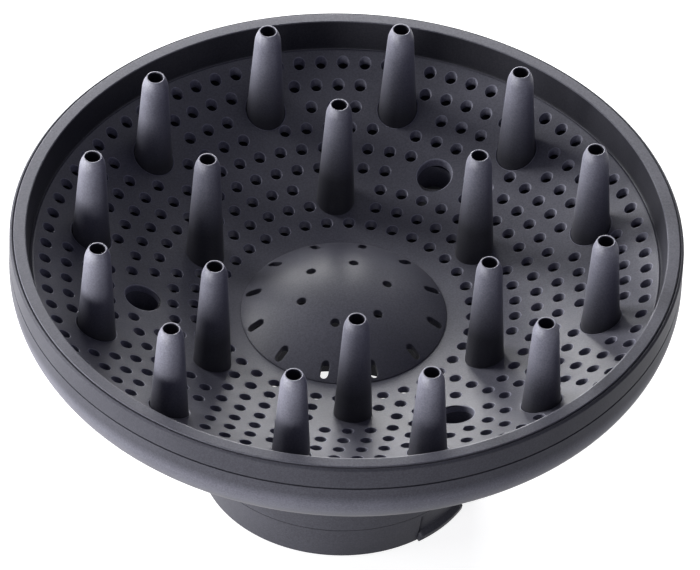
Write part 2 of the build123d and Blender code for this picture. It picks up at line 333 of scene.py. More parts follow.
class DiffuserFinish(PropertyGroup):
    """Colours and surface of the plastic and of the screws."""

    plastic: colour("Plastic", "Colour of the moulded plastic", (0.060, 0.060, 0.0745))
    plastic_worn: colour(
        "Polished plastic", "Colour where the grain is flattened", (0.088, 0.088, 0.107)
    )
    roughness: share("Roughness", "Roughness of the plastic", 0.44)
    grain: length("Grain size", "Size of the eroded grain in the plastic", 0.42 * MM)
    flow: length("Flow size", "Size of the cloudy variation from moulding", 14 * MM)
    screw: colour("Screw", "Colour of the blackened screws", (0.025, 0.025, 0.027))


class DiffuserStage(PropertyGroup):
    """Camera, lamps and floor."""

    lens: number("Lens", "Focal length in millimetres", 511.5)
    distance: length("Distance", "Distance from the camera to its aim", 2.3035)
    azimuth: angle("Azimuth", "Direction of the camera from the aim, from +X", -94.9)
    elevation: angle("Elevation", "Height of the camera over the aim", 43.0)
    roll: angle("Roll", "Roll of the camera", 2.5)
    aim: FloatVectorProperty(
        name="Aim", description="Point that the camera looks at", default=(0.00175, 0.0066, 0.050),
        subtype="TRANSLATION", unit="LENGTH",
    )
    floor: colour("Floor", "Colour of the floor", (0.70, 0.70, 0.70))
    floor_radius: length("Floor radius", "Radius of the floor", 3.0)
    glow: share("Glow", "How white the floor looks to the camera before its light is added", 0.86)
    shadow: share("Shadow", "Depth of the shadow on the floor", 0.45)
    bounce: number("Bounce", "Light that the floor's lit side throws up at the object", 1.4)
    ambient: number("Ambient", "Strength of the light from all round", 0.12)
    ambient_tint: colour("Ambient tint", "Colour of the light from all round", (0.80, 0.80, 1.30))


class Link:
    """A node's output that takes part in Python expressions."""

    def __init__(self, tree, socket):
        self.tree = tree
        self.socket = socket

    def math(self, operation, first, second):
        return self.tree.add("ShaderNodeMath", {"operation": operation}, {0: first, 1: second})[0]

    def __add__(self, other):
        return self.math("ADD", self, other)

    def __radd__(self, other):
        return self.math("ADD", other, self)

    def __sub__(self, other):
        return self.math("SUBTRACT", self, other)

    def __rsub__(self, other):
        return self.math("SUBTRACT", other, self)

    def __mul__(self, other):
        return self.math("MULTIPLY", self, other)

    def __rmul__(self, other):
        return self.math("MULTIPLY", other, self)

    def maximum(self, other):
        return self.math("MAXIMUM", self, other)

    def distance(self, other):
        return self.math("ABSOLUTE", self - other, 0.0)


class Tree:
    """A node tree that nodes are added to by type, settings and sockets."""

    def __init__(self, node_tree):
        self.node_tree = node_tree
        node_tree.nodes.clear()

    def add(self, kind, settings, sockets):
        """Adds a node, sets it up and fills its sockets. Returns its outputs, by place or name."""
        node = self.node_tree.nodes.new(kind)
        for key, value in settings.items():
            setattr(node, key, value)
        for key, value in sockets.items():
            if isinstance(value, Link):
                self.node_tree.links.new(value.socket, node.inputs[key])
            else:
                node.inputs[key].default_value = value
        outputs = {place: Link(self, output) for place, output in enumerate(node.outputs)}
        outputs.update({output.name: Link(self, output) for output in node.outputs})
        return outputs

    def mix(self, factor, first, second):
        """A colour between two others."""
        sockets = {"Factor": factor, "A": first, "B": second}
        return self.add("ShaderNodeMix", {"data_type": "RGBA"}, sockets)[2]

    def place(self):
        """Where a point of the surface lies in the object."""
        return self.add("ShaderNodeTexCoord", {}, {})["Object"]

    def noise(self, place, size, detail, roughness):
        """Cloudy values round a half, with clouds of a size in metres."""
        sockets = {"Vector": place, "Scale": 1 / size, "Detail": detail, "Roughness": roughness}
        return self.add("ShaderNodeTexNoise", {}, sockets)[0]

    def part_of(self, place, axis):
        """One coordinate of a place."""
        return self.add("ShaderNodeSeparateXYZ", {}, {"Vector": place})[axis]

    def glow(self, strength):
        """White light that a surface gives off."""
        return self.add("ShaderNodeEmission", {}, {"Color": WHITE, "Strength": strength})[0]

    def matt(self, tint):
        """A plain matt surface."""
        return self.add("ShaderNodeBsdfDiffuse", {}, {"Color": rgba(tint)})[0]

    def both(self, first, second):
        """Two shaders added together."""
        return self.add("ShaderNodeAddShader", {}, {0: first, 1: second})[0]

    def between(self, factor, first, second):
        """A shader between two others."""
        return self.add("ShaderNodeMixShader", {}, {0: factor, 1: first, 2: second})[0]

    def seen(self):
        """1 for rays that show a surface to the camera, in a gloss or through glass too."""
        path = self.add("ShaderNodeLightPath", {}, {})
        straight = path["Is Camera Ray"]
        return straight.maximum(path["Is Glossy Ray"]).maximum(path["Is Transmission Ray"])


def new_tree(name):
    """A new material and the tree of its nodes."""
    material = bpy.data.materials.new(name)
    material.use_nodes = True
    return material, Tree(material.node_tree)


def rgba(value):
    """A colour with full alpha."""
    return (*value, 1.0)


def moulded_plastic(name, other_tone=None, mask=None):
    """Dark plastic with an eroded grain and a cloudy flow from moulding.

    Where mask, a function of the height, is 1, other_tone takes the place of the plastic's tone;
    the callers use this to paint light and shade by height.
    """
    finish = bpy.context.scene.diffuser_finish
    tone, gloss, shift = PLASTICS[name]
    material, tree = new_tree(name)
    place = tree.place()
    moved = tree.add(
        "ShaderNodeVectorMath", {"operation": "ADD"}, {0: place, 1: (shift, shift, shift)}
    )[0]
    grain = tree.noise(moved, finish.grain, detail=2.0, roughness=0.55)
    flow = tree.noise(moved, finish.flow, detail=3.0, roughness=0.6)
    polish = GRAIN_CONTRAST * (grain - 0.5) + flow

    def shade_of(level):
        dark, pale = ([level * c for c in base] for base in (finish.plastic, finish.plastic_worn))
        return tree.mix(polish, rgba(dark), rgba(pale))

    shade = shade_of(tone)
    if mask:
        shade = tree.mix(mask(tree.part_of(place, "Z")), shade, shade_of(other_tone))
    rough_grain = GRAIN_ROUGHNESS * (grain - 0.5)
    rough_flow = FLOW_ROUGHNESS * (flow - 0.5)
    bump = tree.add(
        "ShaderNodeBump", {}, {"Strength": GRAIN_BUMP, "Distance": GRAIN_DEPTH, "Height": grain}
    )["Normal"]
    surface = tree.add(
        "ShaderNodeBsdfPrincipled",
        {},
        {
            "Base Color": shade,
            "Roughness": finish.roughness + rough_grain - rough_flow,
            "IOR": PLASTIC_IOR,
            "Specular IOR Level": gloss,
            "Normal": bump,
        },
    )["BSDF"]
    tree.add("ShaderNodeOutputMaterial", {}, {"Surface": surface})
    return material


def blackened_steel(name):
    """Blackened screws with fine turning marks."""
    base = bpy.context.scene.diffuser_finish.screw
    material, tree = new_tree(name)
    marks = tree.noise(tree.place(), MARK_SIZE, detail=2.0, roughness=0.5)
    shade = tree.mix(marks, rgba(base), rgba([SCREW_PALE * c for c in base]))
    roughness = SCREW_ROUGHNESS + MARK_ROUGHNESS * marks
    surface = tree.add(
        "ShaderNodeBsdfPrincipled",
        {},
        {"Base Color": shade, "Metallic": SCREW_METAL, "Roughness": roughness},
    )["BSDF"]
    tree.add("ShaderNodeOutputMaterial", {}, {"Surface": surface})
    return material


def studio_floor(name, stage):
    """Pale floor that looks white to the camera and keeps the object's shadow."""
    material, tree = new_tree(name)
    lit_side = BOUNCE_MIDDLE - tree.part_of(tree.place(), "X") * BOUNCE_FADE
    pale = tree.matt(stage.floor)
    bright = tree.both(pale, tree.glow(stage.bounce))
    lighting = tree.between(lit_side, pale, bright)
    white = tree.both(tree.matt([stage.shadow] * 3), tree.glow(stage.glow))
    surface = tree.between(tree.seen(), lighting, white)
    tree.add("ShaderNodeOutputMaterial", {}, {"Surface": surface})
    return material


def polar(radius, turn):
    """A point on a circle, in the plane of the floor."""
    return Vector((radius * math.cos(turn), radius * math.sin(turn)))


def turns(count, start=0.0):
    """Even angles of a full turn."""
    return [start + math.tau * i / count for i in range(count)]


def circle(centre, radius, count):
    """Points round a circle."""
    return [centre + polar(radius, turn) for turn in turns(count)]


def stadium(centre, turn, reach, radius, count):
    """Points round a slot with round ends, whose axis points along turn."""
    points = []
    for end in (0, 1):
        middle = centre + polar(reach, turn + math.pi * end)
        start = turn + math.pi * (end - 0.5)
        points += [middle + polar(radius, start + math.pi * i / count) for i in range(count + 1)]
    return points


def round_hole(centre, radius, count):
    """A round hole, as a function from an offset to a loop."""
    return lambda offset: circle(centre, radius + offset, count)


def slot_hole(centre, turn, reach, radius, count):
    """A slot with round ends, as a function from an offset to a loop."""
    return lambda offset: stadium(centre, turn, reach, radius + offset, count)


def rounded(corners, closed=True):
    """A line through corners (radius, height, rounding), with each corner turned into an arc."""
    points = []
    count = len(corners)
    for i, (r, z, rounding) in enumerate(corners):
        corner = Vector((r, z))
        open_end = not closed and i in (0, count - 1)
        if rounding == 0 or open_end:
            points.append(corner)
            continue
        back = (Vector(corners[i - 1][:2]) - corner).normalized()
        ahead = (Vector(corners[(i + 1) % count][:2]) - corner).normalized()
        half = back.angle(ahead) / 2
        centre = corner + (back + ahead).normalized() * rounding / math.sin(half)
        start = corner + back * rounding / math.tan(half) - centre
        end = corner + ahead * rounding / math.tan(half) - centre
        sweep = start.angle_signed(end)
        steps = max(ROUND_STEPS, round(abs(sweep) * rounding / ROUND_STEP_LENGTH))
        for step in range(steps + 1):
            points.append(centre + Matrix.Rotation(-sweep * step / steps, 2) @ start)
    return points


def join_rings(bm, lower, upper, slot=0):
    """Faces between two rings of as many vertices, in a material slot."""
    count = len(lower)
    for i in range(count):
        j = (i + 1) % count
        bm.faces.new((lower[i], lower[j], upper[j], upper[i])).material_index = slot


def lathe(bm, line, segments, centre=AXIS, closed=True, slot=0, closing_slot=0):
    """Turns a line of (radius, height) about an upright axis and joins the rings with faces.

    closing_slot is the material slot of the faces from the line's end to its start, slot of
    the others.
    """
    rings = []
    for r, z in line:
        rings.append([bm.verts.new((x, y, z)) for x, y in circle(centre, r, segments)])
    for lower, upper in zip(rings, rings[1:]):
        join_rings(bm, lower, upper, slot)
    if closed:
        join_rings(bm, rings[-1], rings[0], closing_slot)


def bow(bm, section, start, end, steps):
    """Sweeps a closed section of (radius, height) from one angle about the axis to another."""
    rings = []
    for step in range(steps + 1):
        turn = start + (end - start) * step / steps
        rings.append([bm.verts.new((*polar(r, turn), z)) for r, z in section])
    for lower, upper in zip(rings, rings[1:]):
        join_rings(bm, lower, upper)
    bm.faces.new(rings[0])
    bm.faces.new(rings[-1])


def pierced_sheet(bm, outer, inner, holes, fill, upper, lower, hole_slot=0):
    """A sheet between two surfaces of turning, with rounded holes.

    outer and inner are loops, holes are pairs of a function from an offset to a loop and the
    rounding of its edges, fill holds points in between, and upper and lower give a height from
    a radius. hole_slot is the material slot of the holes' walls.
    """
    loops = [outer] + ([inner] if inner else []) + [hole(edge) for hole, edge in holes]
    spots, borders, owner = [], [], []
    for index, loop in enumerate(loops):
        first = len(spots)
        spots += loop
        owner += [index] * len(loop)
        borders += [(first + i, first + (i + 1) % len(loop)) for i in range(len(loop))]
    spots += fill
    owner += [-1] * len(fill)
    found, _, triangles, origins, _, _ = delaunay_2d_cdt(spots, borders, [], 0, SHEET_TOLERANCE)
    found_of = {source: i for i, sources in enumerate(origins) for source in sources}
    label = [owner[sources[0]] if sources else -1 for sources in origins]
    top = [bm.verts.new((p.x, p.y, upper(p.length))) for p in found]
    low = [bm.verts.new((p.x, p.y, lower(p.length))) for p in found]
    for a, b, c in triangles:
        inside_a_loop = label[a] > 0 and label[a] == label[b] == label[c]
        if not inside_a_loop:
            bm.faces.new((top[a], top[b], top[c]))
            bm.faces.new((low[c], low[b], low[a]))
    first = len(outer) + len(inner or [])
    quarter = [math.pi / 4, math.pi / 2]
    for hole, edge in holes:
        count = len(hole(edge))
        ring = [top[found_of[first + i]] for i in range(count)]
        steps = [(1 - math.sin(a), 1 - math.cos(a), upper, -1) for a in quarter]
        steps += [(1 - math.sin(a), 1 - math.cos(a), lower, 1) for a in reversed(quarter)]
        for spread, drop, surface, way in steps:
            loop = hole(edge * spread)
            step = [bm.verts.new((*p, surface(p.length) + way * edge * drop)) for p in loop]
            join_rings(bm, ring, step, hole_slot)
            ring = step
        join_rings(bm, ring, [low[found_of[first + i]] for i in range(count)], hole_slot)
        first += count


def place_piece(name, bm, node, slot, *materials, body=BODY):
    """Makes an object of the mesh, which stands for a node and rides on its body."""
    bmesh.ops.remove_doubles(bm, verts=bm.verts, dist=WELD_DISTANCE)
    bmesh.ops.recalc_face_normals(bm, faces=bm.faces)
    bm.normal_update()
    normals = []
    for vertex in bm.verts:
        total = sum((face.normal * face.calc_area() for face in vertex.link_faces), Vector())
        normals.append(total.normalized())
    mesh = bpy.data.meshes.new(name)
    bm.to_mesh(mesh)
    bm.free()
    mesh.shade_smooth()
    mesh.normals_split_custom_set_from_vertices(normals)
    for material in materials:
        mesh.materials.append(material)
    piece = bpy.data.objects.new(name, mesh)
    bpy.context.collection.objects.link(piece)
    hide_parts(node)
    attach(piece, body)


def crease():
    """Radius and height of the crease between the dish and its wall."""
    dish = bpy.context.scene.diffuser_dish
    return plate_high[0] - dish.lip_width - dish.lip_lean, plate_high[2] - dish.lip_drop


def dish_height(radius, depth=0.0):
    """Height of the dish at a radius, or of the surface that lies depth below it."""
    sphere = bpy.context.scene.diffuser_dish.sphere
    edge_radius, edge_height = crease()
    middle = edge_height + math.sqrt(sphere**2 - edge_radius**2)
    return middle - math.sqrt((sphere + depth) ** 2 - radius**2)


def dish_underside(radius):
    """Height of the dish's underside at a radius."""
    return dish_height(radius, bpy.context.scene.diffuser_dish.wall)


def dome_land():
    """Radius and height of the flat land that carries the dome."""
    dome = bpy.context.scene.diffuser_dome
    radius = dome.radius + dome.land / 4
    return radius, dish_height(radius)


def spots_of(node_prefix):
    """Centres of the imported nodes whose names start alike, by node."""
    spots = {}
    for node in sorted(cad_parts):
        if node.startswith(node_prefix):
            low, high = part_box(node)
            spots[node] = Vector(((low[0] + high[0]) / 2, (low[1] + high[1]) / 2))
    return spots


def well_spots():
    """Centres of the screw wells."""
    ring = bpy.context.scene.diffuser_dish.well_ring
    return [polar(ring, turn) for turn in turns(WELL_COUNT, WELL_START)]


def clear_of(spot, centres, distance):
    """Whether a spot lies further than a distance from all centres."""
    return min((spot - centre).length for centre in centres) > distance


class DIFFUSER_OT_plate(Operator):
    """Mould the perforated dish with its wall, lip and screw wells"""

    bl_idname = "diffuser.plate"
    bl_label = "Front plate"

    def openings(self, dish, fingers, ring_numbers):
        """The dish's openings, each as its centre, radius, number of points and rounding."""
        finger_spots = [*spots_of("outer_finger").values(), *spots_of("inner_finger").values()]
        finger_keep = fingers.base + dish.hole + dish.web
        well_keep = dish.well + dish.well_wall + dish.hole + dish.web
        openings = []
        for ring in ring_numbers:
            for turn in turns(HOLE_COUNT * ring, HOLE_START + dish.turn):
                spot = polar(ring * dish.pitch, turn)
                clear_of_fingers = clear_of(spot, finger_spots, finger_keep)
                if clear_of_fingers and clear_of(spot, well_spots(), well_keep):
                    openings.append((spot, dish.hole, HOLE_SEGMENTS, dish.edge))
        seat = fingers.base + fingers.gap
        openings += [(spot, seat, SEAT_SEGMENTS, fingers.seat_edge) for spot in finger_spots]
        openings += [(spot, dish.well, SEAT_SEGMENTS, dish.well_edge) for spot in well_spots()]
        return openings

    def fill(self, dish, openings, ring_numbers):
        """Points between the openings, on circles half a pitch apart."""
        spacing = dish.pitch / 2
        points = []
        for ring in range(2 * ring_numbers[0] - 1, 2 * ring_numbers[-1] + 2):
            radius = ring * spacing
            for spot in circle(AXIS, radius, round(math.tau * radius / spacing)):
                gap = min((spot - centre).length - reach for centre, reach, _, _ in openings)
                if gap > DISH_FILL_GAP:
                    points.append(spot)
        return points

    def execute(self, context):
        scene = context.scene
        dish, fingers = scene.diffuser_dish, scene.diffuser_fingers
        dome, shell = scene.diffuser_dome, scene.diffuser_shell
        edge_radius, edge_height = crease()
        land_radius, land_height = dome_land()

        # Half a pitch stays free beside the land and the crease
        first = math.ceil(land_radius / dish.pitch + 0.5)
        last = math.floor(edge_radius / dish.pitch - 0.5)
        ring_numbers = range(first, last + 1)
        openings = self.openings(dish, fingers, ring_numbers)
        holes = [(round_hole(spot, radius, count), edge) for spot, radius, count, edge in openings]
        fill = self.fill(dish, openings, ring_numbers)
        rim_of_dish = edge_radius - dish.groove
        border = rim_of_dish - BORDER_OFFSET * dish.crease_edge
        outer = circle(AXIS, border, RING_SEGMENTS)
        inner = circle(AXIS, land_radius, LAND_SEGMENTS)
        bm = bmesh.new()
        # The holes' walls and edges take the paler hole plastic: painted light
        pierced_sheet(
            bm, outer, inner, holes, fill, dish_height, dish_underside, hole_slot=HOLE_SLOT
        )

        lip_outer = plate_high[0]
        lip_inner = lip_outer - dish.lip_width
        band_outer = lip_inner + dish.lip_band
        lip_top = plate_high[2]
        tread = lip_top - dish.lip_ledge
        shelf = rim_high[2] - SHELF_DEPTH
        plate_radius = edge_radius + dish.wall
        groove_floor = edge_height - dish.groove
        edge_line = rounded(
            [
                (border, dish_height(border), 0),
                (rim_of_dish, dish_height(rim_of_dish), dish.crease_edge),
                (rim_of_dish, groove_floor, 0),
            ],
            closed=False,
        )
        wall_line = [(rim_of_dish, groove_floor), (edge_radius, groove_floor), (lip_inner, tread)]
        lip_line = rounded(
            [
                (lip_inner, tread, 0),
                (band_outer, tread, 0),
                (band_outer, lip_top, dish.lip_edge / 2),
                (lip_outer, lip_top, dish.lip_edge),
                (lip_outer, shelf, 0),
                (plate_radius, shelf, 0),
                (plate_radius, dish_underside(plate_radius), 0),
                (border, dish_underside(border), 0),
            ],
            closed=False,
        )
        lathe(bm, edge_line, RING_SEGMENTS, closed=False)
        # The groove and wall take the darker wall plastic: painted shade
        lathe(bm, wall_line, RING_SEGMENTS, closed=False, slot=WALL_SLOT)
        lathe(bm, lip_line, RING_SEGMENTS, closed=False)

        hub_radius = dome.radius - dome.land
        hub_line = [
            (land_radius, land_height),
            (hub_radius, land_height),
            (hub_radius, dish_underside(hub_radius)),
            (land_radius, dish_underside(land_radius)),
        ]
        lathe(bm, hub_line, LAND_SEGMENTS, closed=False)

        floor_top = plate_low[2] + dish.well_floor
        tube_top = dish_underside(dish.well_ring - dish.well) + TUBE_LAP
        tube_inner = dish.well + WELL_STEP
        tube_outer = dish.well + dish.well_wall
        tube = [
            (shell.pilot, floor_top),
            (tube_inner, floor_top),
            (tube_inner, tube_top + TUBE_RISE),
            (tube_outer, tube_top),
            (tube_outer, plate_low[2]),
            (shell.pilot, plate_low[2]),
        ]
        for spot in well_spots():
            lathe(bm, tube, SEAT_SEGMENTS, spot)
        names = ("Dish plastic", "Hole plastic with painted light", "Wall plastic with painted shade")
        materials = [moulded_plastic(name) for name in names]
        place_piece("Front_plate", bm, "front_plate", "plate_plastic", *materials)
        return {"FINISHED"}


class DIFFUSER_OT_fingers(Operator):
    """Mould the hollow fingers, one piece to each node"""

    bl_idname = "diffuser.fingers"
    bl_label = "Fingers"

    def execute(self, context):
        dish, fingers = context.scene.diffuser_dish, context.scene.diffuser_fingers
        foot = dish_height(fingers.outer_ring)

        # Painted light towards the finger tips and painted shade towards their feet, by height
        def painted_tip_light(height):
            rise = (height - foot) * (1 / (finger_top - foot))
            return rise * (1 + FINGER_PAINTED_LIGHT_BEND - rise * FINGER_PAINTED_LIGHT_BEND)

        material = moulded_plastic("Finger plastic with painted light and shade", FINGER_PAINTED_LIGHT_TONE, painted_tip_light)
        # Painted shade inside the bores
        bore_material = moulded_plastic("Bore plastic with painted shade")
        rings = (("outer_finger", fingers.outer_ring), ("inner_finger", fingers.inner_ring))
        for prefix, ring in rings:
            for node, spot in spots_of(prefix).items():
                low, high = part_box(node)
                tip = high[2]
                line = rounded(
                    [
                        (fingers.bore, low[2], 0),
                        (fingers.base, low[2], 0),
                        (fingers.base, dish_height(ring) - dish.wall, 0),
                        (fingers.end, tip - fingers.shoulder, fingers.shoulder_round),
                        (fingers.tip, tip, fingers.tip_round),
                        (fingers.bore, tip, fingers.bore_edge),
                    ]
                )
                bm = bmesh.new()
                lathe(bm, line, FINGER_SEGMENTS, spot, closing_slot=BORE_SLOT)
                place_piece(node.capitalize(), bm, node, "finger_plastic", material, bore_material)
        return {"FINISHED"}


class DIFFUSER_OT_dome(Operator):
    """Mould the dome with its slots and vents"""

    bl_idname = "diffuser.dome"
    bl_label = "Centre dome"

    def execute(self, context):
        dome = context.scene.diffuser_dome
        _, land_height = dome_land()
        middle = land_height + dome.lift - math.sqrt(dome.sphere**2 - dome.radius**2)
        skirt_outer = dome.radius - dome.land - FIT
        skirt_inner = skirt_outer - dome.skirt
        inner_sphere = dome.sphere - dome.wall

        def upper(radius):
            return middle + math.sqrt(dome.sphere**2 - min(radius, dome.radius) ** 2)

        def lower(radius):
            if radius > skirt_outer + SKIRT_STEP:
                return land_height
            return middle + math.sqrt(inner_sphere**2 - radius**2)

        slot_turns = turns(SLOT_COUNT, DOME_START)
        slots = [polar(dome.slot_ring, turn) for turn in slot_turns]
        vents = [polar(dome.vent_ring, turn) for turn in turns(VENT_COUNT, DOME_START)]
        slot_half_width = dome.slot_width / 2
        slot_reach = dome.slot_length / 2 - slot_half_width
        holes = []
        for spot, turn in zip(slots, slot_turns):
            hole = slot_hole(spot, turn, slot_reach, slot_half_width, SLOT_STEPS)
            holes.append((hole, dome.edge))
        holes += [(round_hole(spot, dome.vent, VENT_SEGMENTS), dome.edge) for spot in vents]
        slot_keep = dome.slot_length / 2 + DOME_FILL_GAP
        vent_keep = dome.vent + DOME_FILL_GAP
        fill = [AXIS]
        for ring in range(1, DOME_FILL_RINGS + 1):
            for spot in circle(AXIS, ring * DOME_FILL_STEP, DOME_FILL_COUNT * ring):
                if clear_of(spot, slots, slot_keep) and clear_of(spot, vents, vent_keep):
                    fill.append(spot)

        bm = bmesh.new()
        outer = circle(AXIS, dome.radius, DOME_SEGMENTS)
        pierced_sheet(bm, outer, None, holes, fill, upper, lower)
        edge_line = [(dome.radius, upper(dome.radius)), (dome.radius, land_height)]
        lathe(bm, edge_line, DOME_SEGMENTS, closed=False)
        prong = [
            (skirt_outer, land_height),
            (skirt_outer, dome_foot),
            (skirt_inner, dome_foot),
            (skirt_inner, land_height),
        ]
        gap_half = math.atan(PRONG_GAP * dome.slot_width / skirt_outer)
        for turn in slot_turns:
            next_turn = turn + math.tau / SLOT_COUNT
            bow(bm, prong, turn + gap_half, next_turn - gap_half, PRONG_STEPS)
        material = moulded_plastic("Dome plastic")
        place_piece("Centre_dome", bm, "centre_dome", "dome_plastic", material)
        return {"FINISHED"}


class DIFFUSER_OT_rim(Operator):
    """Turn the rim ring round the dish"""

    bl_idname = "diffuser.rim"
    bl_label = "Rim ring"

    def execute(self, context):
        dish, shell = context.scene.diffuser_dish, context.scene.diffuser_shell
        radius = rim_high[0]
        edge_radius, _ = crease()
        skirt_inner = radius - shell.wall + shell.tongue + FIT
        shelf_top = rim_high[2] - SHELF_DEPTH
        shelf_bottom = shell_high[2]
        shelf_inner = edge_radius + dish.wall + FIT
        wall_inner = radius - shell.rim_wall
        top = plate_high[2] - shell.rim_drop
        line = rounded(
            [
                (skirt_inner, rim_low[2], 0),
                (radius, rim_low[2], shell.seam_edge),
                (radius, top - shell.rim_slope, shell.edge),
                (radius - shell.rim_slope, top, shell.seam_edge),
                (wall_inner, top, 0),
                (wall_inner, shelf_top, 0),
                (shelf_inner, shelf_top, 0),
                (shelf_inner, shelf_bottom, 0),
                (skirt_inner, shelf_bottom, 0),
            ]
        )
        bm = bmesh.new()
        lathe(bm, line, RING_SEGMENTS)
        place_piece("Front_rim", bm, "front_rim", "rim_plastic", moulded_plastic("Rim plastic"))
        return {"FINISHED"}


class DIFFUSER_OT_shell(Operator):
    """Turn the rear shell with its shoulder, underside and neck"""

    bl_idname = "diffuser.shell"
    bl_label = "Rear shell"

    def outline(self, shell, inset, seam, top):
        """Corners of the outline, moved in by inset, from the neck's foot to the wall's top."""
        radius = shell_high[0]
        foot = shell_low[2]
        wall = radius - inset
        rise = math.tan(shell.slope)
        lean = math.tan(shell.taper)
        neck_inset = inset / math.cos(shell.taper)
        corner = seam - shell.straight - shell.shoulder * math.tan((math.pi / 2 - shell.slope) / 2)
        base = corner - (radius - shell.mouth) * rise + inset / math.cos(shell.slope)
        bend = (base - neck_inset * rise) / (1 - lean * rise)
        return [
            (shell.mouth + foot * lean - neck_inset, foot),
            (shell.mouth + bend * lean - neck_inset, bend),
            (wall, base + (wall - shell.mouth) * rise),
            (wall, top),
        ]

    def boss(self, bm, shell, spot, inner_corner):
        """A screw boss, whose foot follows the slope of the shell's inside."""
        corner_radius, corner_height = inner_corner

        def foot(radius):
            inside = corner_height - (corner_radius - radius) * math.tan(shell.slope)
            return inside - shell.wall / 2

        bore, wall = (circle(spot, r, BOSS_SEGMENTS) for r in (shell.pilot, shell.boss))
        feet = [[bm.verts.new((*p, foot(p.length))) for p in loop] for loop in (bore, wall)]
        tops = [[bm.verts.new((*p, plate_low[2])) for p in loop] for loop in (wall, bore)]
        rings = feet + tops
        for lower, upper in zip(rings, rings[1:] + rings[:1]):
            join_rings(bm, lower, upper)

    def execute(self, context):
        shell = context.scene.diffuser_shell
        seam = rim_low[2] - shell.seam
        tongue_top = shell_high[2]
        tongue_radius = shell_high[0] - shell.wall + shell.tongue
        foot, bend, under, top = self.outline(shell, 0.0, seam, seam)
        in_foot, in_bend, in_under, in_top = self.outline(shell, shell.wall, seam, tongue_top)
        line = rounded(
            [
                (*foot, shell.edge),
                (*bend, shell.flare),
                (*under, shell.shoulder),
                (*top, shell.seam_edge),
                (tongue_radius, seam, 0),
                (tongue_radius, tongue_top, 0),
                (*in_top, 0),
                (*in_under, shell.shoulder - shell.wall),
                (*in_bend, shell.flare + shell.wall),
                (*in_foot, 0),
            ]
        )
        bm = bmesh.new()
        lathe(bm, line, RING_SEGMENTS)
        for spot in well_spots():
            self.boss(bm, shell, spot, in_under)
        # Painted highlight: a paler band round the shoulder, by height
        highlight_height = seam - shell.straight - shell.shoulder * math.sin(SHOULDER_HIGHLIGHT_ANGLE)

        def painted_highlight_band(height):
            return SHOULDER_HIGHLIGHT_PEAK - height.distance(highlight_height) * (1 / SHOULDER_HIGHLIGHT_FADE)

        material = moulded_plastic("Housing plastic", SHOULDER_HIGHLIGHT_TONE, painted_highlight_band)
        place_piece("Rear_shell", bm, "rear_shell", "shell_plastic", material)
        return {"FINISHED"}


class DIFFUSER_OT_collar(Operator):
    """Finish the mounting collar"""

    bl_idname = "diffuser.collar"
    bl_label = "Mounting collar"

    def execute(self, context):
        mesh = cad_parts["mounting_collar"].data
        mesh.materials.clear()
        mesh.materials.append(moulded_plastic("Collar plastic"))
        return {"FINISHED"}


class DIFFUSER_OT_latches(Operator):
    """Sweep the two snap latches with their finger lips"""

    bl_idname = "diffuser.latches"
    bl_label = "Snap latches"

    def execute(self, context):
        latch, shell = context.scene.diffuser_latch, context.scene.diffuser_shell
        material = moulded_plastic("Latch plastic")
        lean = math.tan(shell.taper)
        half = latch.width / 2 / shell.mouth
        for node in ("latch_1", "latch_2"):
            low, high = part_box(node)
            foot, top = low[2], high[2]
            lip_top = foot + latch.lip_height
            slope_top = lip_top + latch.lip + latch.recess
            heights = (foot, lip_top, slope_top, top)
            at_foot, at_lip, at_slope, at_top = (shell.mouth + z * lean for z in heights)
            section = rounded(
                [
                    (at_foot - latch.recess - latch.wall, foot, 0),
                    (at_foot + latch.lip, foot, latch.edge),
                    (at_lip + latch.lip, lip_top, latch.edge),
                    (at_slope - latch.recess, slope_top, latch.edge),
                    (at_top - latch.recess, top, latch.edge),
                    (at_top - latch.recess - latch.wall, top, 0),
                ]
            )
            turn = math.atan2(low[1] + high[1], low[0] + high[0])
            bm = bmesh.new()
            bow(bm, section, turn - half, turn + half, LATCH_STEPS)
            place_piece(node.capitalize(), bm, node, "latch_plastic", material, body=node)
        return {"FINISHED"}


class DIFFUSER_OT_screws(Operator):
    """Turn the three screws at the bottom of the wells"""

    bl_idname = "diffuser.screws"
    bl_label = "Screws"

    def execute(self, context):
        dish, screw = context.scene.diffuser_dish, context.scene.diffuser_screw
        head_foot = plate_low[2] + dish.well_floor
        top, end = screw_high[2], screw_low[2]
        socket_floor = top - screw.socket_depth
        line = rounded(
            [
                (screw.core, socket_floor, 0),
                (screw.socket, socket_floor, 0),
                (screw.socket, top, screw.socket_edge),
                (screw.head, top, screw.head_edge),
                (screw.head, head_foot, screw.head_foot),
                (screw.shank, head_foot, 0),
                (screw.shank, end, screw.point),
                (screw.core, end, 0),
            ]
        )
        bm = bmesh.new()
        for spot in well_spots():
            lathe(bm, line, SCREW_SEGMENTS, spot)
        material = blackened_steel("Screw steel")
        place_piece("Plate_screws", bm, "plate_screws", "screw_steel", material)
        return {"FINISHED"}


def direction(azimuth, elevation):
    """A unit vector that points away from the object."""
    return Vector((*polar(math.cos(elevation), azimuth), math.sin(elevation)))


def looking_back(out):
    """The turn of a lamp or camera that lies out from the object and looks at it."""
    return (-out).to_track_quat("-Z", "Y")


